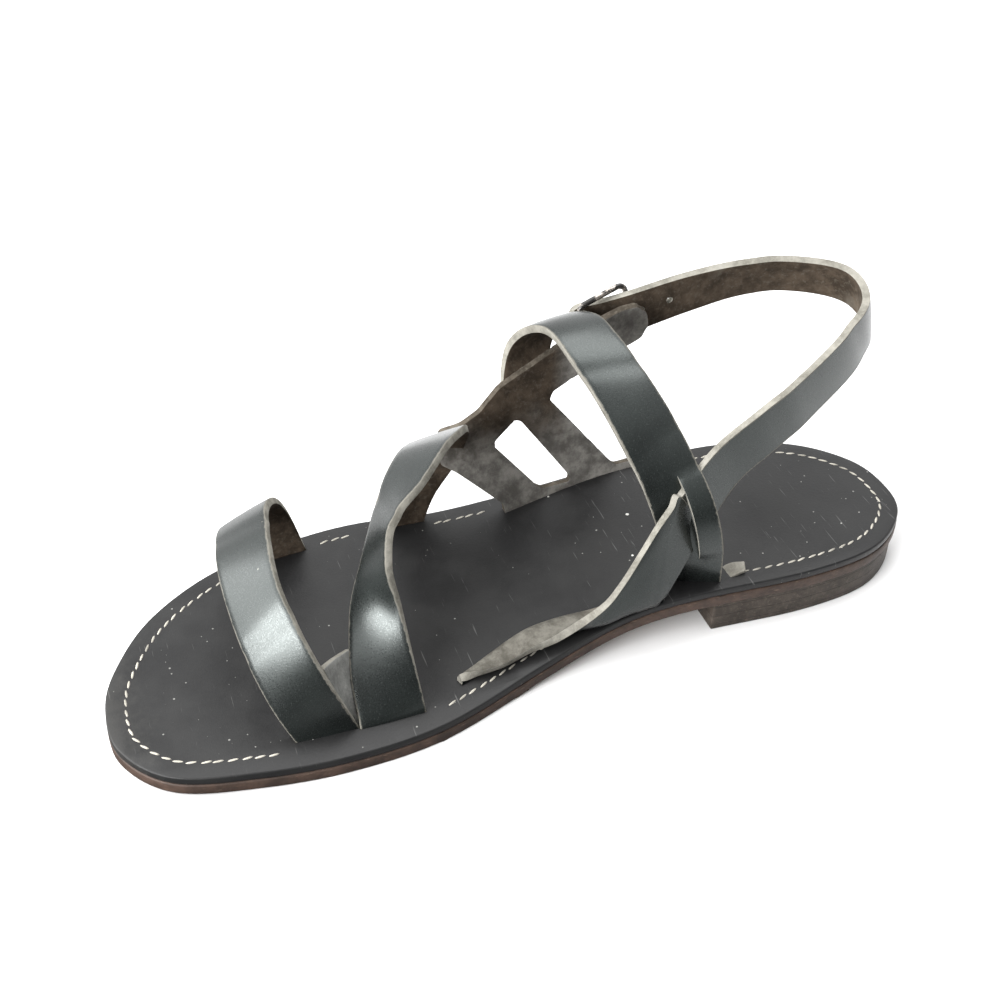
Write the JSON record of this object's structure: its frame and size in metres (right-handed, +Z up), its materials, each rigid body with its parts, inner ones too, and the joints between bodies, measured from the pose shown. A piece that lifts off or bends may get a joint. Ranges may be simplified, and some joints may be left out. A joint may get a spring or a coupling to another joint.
{
  "type": "gladiator sandal",
  "caption": "Flat leather gladiator sandal for the right foot, with flat crossing straps, an outer side panel and a buckled heel strap.",
  "frame": {"origin": "on the floor, under the middle of the bounding box", "axes": "+Z up, +Y from the toe to the heel, +X to the inner (big-toe) side"},
  "size_m": [0.0915, 0.2432, 0.0847],
  "materials": {
    "sole_leather": "rough cut edge, waxed",
    "insole_leather": "satin, lightly worn",
    "strap_leather": "semi-gloss grain outside, rough flesh side inside",
    "buckle_metal": "dark, worn bright at the edges"
  },
  "bodies": {
    "root": {"outsole": "sole_leather", "insole": "insole_leather", "heel_block": "sole_leather", "upper": "strap_leather", "heel_strap": "strap_leather", "buckle_frame": "buckle_metal", "buckle_prong": "buckle_metal"}
  },
  "joints": []
}
